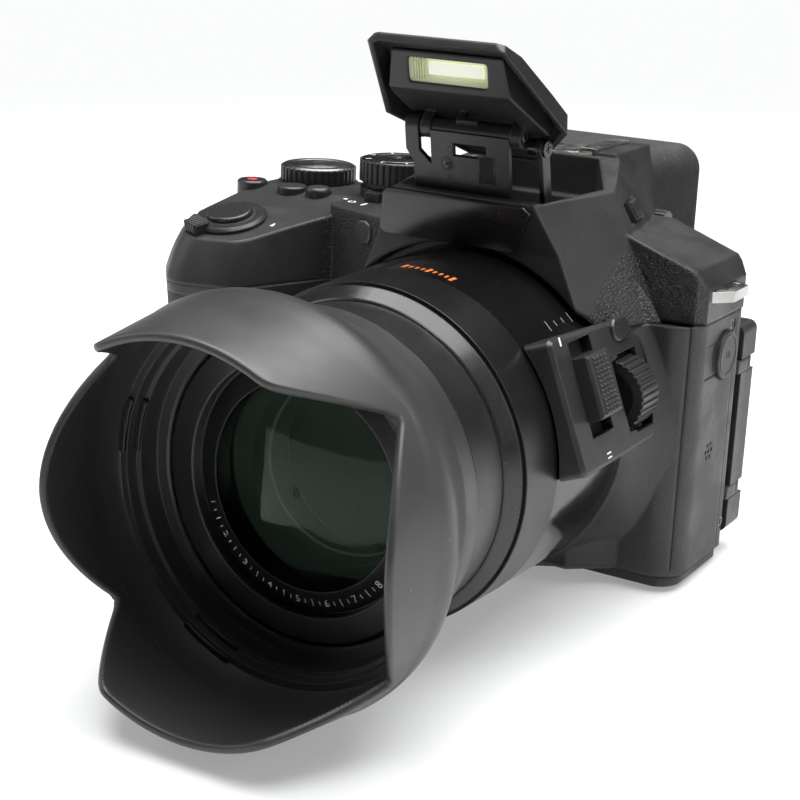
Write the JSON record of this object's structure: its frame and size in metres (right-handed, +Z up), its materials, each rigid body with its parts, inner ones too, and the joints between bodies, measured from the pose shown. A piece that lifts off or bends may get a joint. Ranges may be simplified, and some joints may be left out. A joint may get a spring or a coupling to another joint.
{
  "type": "bridge camera",
  "caption": "Large-zoom bridge camera with a petal lens hood, a pop-up flash on a folding linkage, an accessory shoe, a side-swinging screen and a moulded hand grip.",
  "frame": {"origin": "mouth of the tripod socket, in the middle of the base", "axes": "+Z up, the lens looks along -Y, +X is the camera's left-hand side"},
  "size_m": [0.1344, 0.168, 0.124],
  "materials": {
    "body_plastic": "fine matte texture",
    "rubber": "fine leather grain",
    "lens_glass": "coated, polished",
    "flash_pane": "clear ribbed pane",
    "barrel_metal": "satin black",
    "gloss_black": "gloss",
    "satin_metal": "satin, knurled",
    "steel": "bright",
    "board": "solder mask",
    "battery_case": "matte"
  },
  "bodies": {
    "body": {"front_cover": "body_plastic", "rear_cover": "body_plastic", "top_cover": "body_plastic", "lens_barrel": "gloss_black", "barrel_front_ring": "barrel_metal", "rear_cell": "body_plastic", "rear_glass": "lens_glass", "iris": "steel", "side_pod": "body_plastic", "shoe_rails": "steel", "shoe_contacts": "steel", "af_lamp": "flash_pane", "base_plate": "body_plastic", "tripod_socket": "steel", "battery": "battery_case", "main_board": "board", "image_sensor": "board", "grip_rubber": "rubber", "strap_lug_port": "steel", "strap_lug_grip": "steel", "case_screws": "steel", "eyepiece": "lens_glass", "eyecup": "rubber"},
    "zoom_tube": {"zoom_tube": "barrel_metal", "zoom_cell": "body_plastic", "zoom_glass": "lens_glass"},
    "front_tube": {"front_tube": "barrel_metal", "front_element": "lens_glass", "name_ring": "barrel_metal"},
    "lens_hood": {"lens_hood": "body_plastic"},
    "zoom_rocker": {"zoom_rocker": "satin_metal"},
    "side_dial": {"side_dial": "satin_metal"},
    "focus_button": {"focus_button": "body_plastic"},
    "flash_bracket": {"flash_bracket": "body_plastic", "flash_pins": "steel"},
    "flash_head": {"flash_head": "body_plastic", "flash_cover": "body_plastic", "flash_window": "flash_pane", "link_screw": "steel"},
    "flash_link": {"flash_link": "body_plastic"},
    "flash_switch": {"flash_switch": "body_plastic"},
    "mode_dial": {"mode_dial": "satin_metal"},
    "power_lever": {"power_lever": "body_plastic"},
    "rear_dial": {"rear_dial": "satin_metal"},
    "shutter_button": {"shutter_button": "satin_metal"},
    "zoom_collar": {"zoom_collar": "satin_metal"},
    "movie_button": {"movie_button": "body_plastic"},
    "function_button": {"function_button": "body_plastic"},
    "dome_button": {"dome_button": "body_plastic"},
    "battery_door": {"battery_door": "body_plastic"},
    "battery_latch": {"battery_latch": "body_plastic"},
    "port_door": {"port_door": "rubber"},
    "mic_flap": {"mic_flap": "rubber"},
    "dioptre_dial": {"dioptre_dial": "body_plastic"},
    "screen": {"screen_frame": "body_plastic", "screen_hinge": "body_plastic", "screen_glass": "gloss_black"},
    "cursor_pad": {"cursor_pad": "body_plastic"},
    "menu_button": {"menu_button": "body_plastic"},
    "play_button": {"play_button": "body_plastic"}
  },
  "joints": [
    {"name": "zoom_extend", "type": "slide", "parent": "body", "child": "zoom_tube", "axis": [0, -1, 0], "range_m": [0, 0.022]},
    {"name": "front_extend", "type": "slide", "parent": "zoom_tube", "child": "front_tube", "axis": [0, -1, 0], "range_m": [0, 0.022]},
    {"name": "hood_twist", "type": "hinge", "parent": "front_tube", "child": "lens_hood", "pos_m": [0, -0.09, 0.0366], "axis": [0, -1, 0], "range_deg": [0, 55]},
    {"name": "rocker_slide", "type": "slide", "parent": "body", "child": "zoom_rocker", "axis": [0.3584, 0, -0.9336], "range_m": [-0.003, 0.003], "stiffness_N_per_m": 300},
    {"name": "side_dial_spin", "type": "hinge", "parent": "body", "child": "side_dial", "pos_m": [0.0345, -0.02, 0.04663], "axis": [0, -1, 0], "continuous": true},
    {"name": "focus_press", "type": "slide", "parent": "body", "child": "focus_button", "axis": [-0.9336, 0, -0.3584], "range_m": [0, 0.0005], "stiffness_N_per_m": 600, "springref_m": -0.0003},
    {"name": "flash_arm", "type": "hinge", "parent": "body", "child": "flash_bracket", "pos_m": [0, -0.0216, 0.0792], "axis": [1, 0, 0], "range_deg": [-80.6, 0], "stiffness_Nm_per_rad": 0.01, "springref_deg": 34.38},
    {"name": "flash_tilt", "type": "hinge", "parent": "flash_bracket", "child": "flash_head", "pos_m": [0, -0.025, 0.0986], "axis": [1, 0, 0], "range_deg": [0, 126]},
    {"name": "flash_link_swing", "type": "hinge", "parent": "body", "child": "flash_link", "pos_m": [0.015, -0.01768, 0.07705], "axis": [1, 0, 0], "range_deg": [-78.6, 0]},
    {"name": "flash_release", "type": "slide", "parent": "body", "child": "flash_switch", "axis": [-0.2171, 0.9762, 0], "range_m": [0, 0.002], "stiffness_N_per_m": 300},
    {"name": "mode_spin", "type": "hinge", "parent": "body", "child": "mode_dial", "pos_m": [-0.0395, 0.01, 0.079], "axis": [0, 0, 1], "continuous": true},
    {"name": "power_turn", "type": "hinge", "parent": "body", "child": "power_lever", "pos_m": [-0.0395, 0.01, 0.076], "axis": [0, 0, 1], "range_deg": [0, 35]},
    {"name": "rear_dial_spin", "type": "hinge", "parent": "body", "child": "rear_dial", "pos_m": [-0.0655, 0.014, 0.077], "axis": [0, 0, 1], "continuous": true},
    {"name": "shutter_press", "type": "slide", "parent": "body", "child": "shutter_button", "axis": [0, 0.2419, -0.9703], "range_m": [0, 0.0005], "stiffness_N_per_m": 600, "springref_m": -0.0003},
    {"name": "collar_turn", "type": "hinge", "parent": "body", "child": "zoom_collar", "pos_m": [-0.067, -0.02, 0.06976], "axis": [0, -0.2419, 0.9703], "range_deg": [-14, 14], "stiffness_Nm_per_rad": 0.02},
    {"name": "movie_press", "type": "slide", "parent": "body", "child": "movie_button", "axis": [0, 0, -1], "range_m": [0, 0.0005], "stiffness_N_per_m": 600, "springref_m": -0.0003},
    {"name": "function_press", "type": "slide", "parent": "body", "child": "function_button", "axis": [0, 0, -1], "range_m": [0, 0.0005], "stiffness_N_per_m": 600, "springref_m": -0.0003},
    {"name": "dome_press", "type": "slide", "parent": "body", "child": "dome_button", "axis": [0, 0, -1], "range_m": [0, 0.0005], "stiffness_N_per_m": 600, "springref_m": -0.0003},
    {"name": "battery_door_swing", "type": "hinge", "parent": "body", "child": "battery_door", "pos_m": [-0.054, -0.007, 0.0012], "axis": [0, -1, 0], "range_deg": [0, 90]},
    {"name": "battery_latch_slide", "type": "slide", "parent": "battery_door", "child": "battery_latch", "axis": [1, 0, 0], "range_m": [0, 0.0025]},
    {"name": "port_door_swing", "type": "hinge", "parent": "body", "child": "port_door", "pos_m": [-0.083, 0.0104, 0.031], "axis": [0, 0, -1], "range_deg": [0, 95]},
    {"name": "mic_flap_swing", "type": "hinge", "parent": "body", "child": "mic_flap", "pos_m": [0.047, -0.0023, 0.0512], "axis": [0, 0, -1], "range_deg": [0, 80]},
    {"name": "dioptre_turn", "type": "hinge", "parent": "body", "child": "dioptre_dial", "pos_m": [0.02, 0.028, 0.073], "axis": [1, 0, 0], "range_deg": [-140, 140]},
    {"name": "screen_swing", "type": "hinge", "parent": "body", "child": "screen", "pos_m": [0.0455, 0.024, 0.03], "axis": [0, 0, -1], "range_deg": [0, 175]},
    {"name": "pad_press", "type": "slide", "parent": "body", "child": "cursor_pad", "axis": [0, -1, 0], "range_m": [0, 0.0005], "stiffness_N_per_m": 600, "springref_m": -0.0003},
    {"name": "menu_press", "type": "slide", "parent": "body", "child": "menu_button", "axis": [0, -1, 0], "range_m": [0, 0.0005], "stiffness_N_per_m": 600, "springref_m": -0.0003},
    {"name": "play_press", "type": "slide", "parent": "body", "child": "play_button", "axis": [0, -1, 0], "range_m": [0, 0.0005], "stiffness_N_per_m": 600, "springref_m": -0.0003}
  ],
  "couplings": [
    {"joint": "front_extend", "follows": "zoom_extend", "ratio": 1},
    {"joint": "flash_tilt", "follows": "flash_arm", "ratio": -1.5578},
    {"joint": "flash_link_swing", "follows": "flash_arm", "ratio": 0.96876}
  ]
}
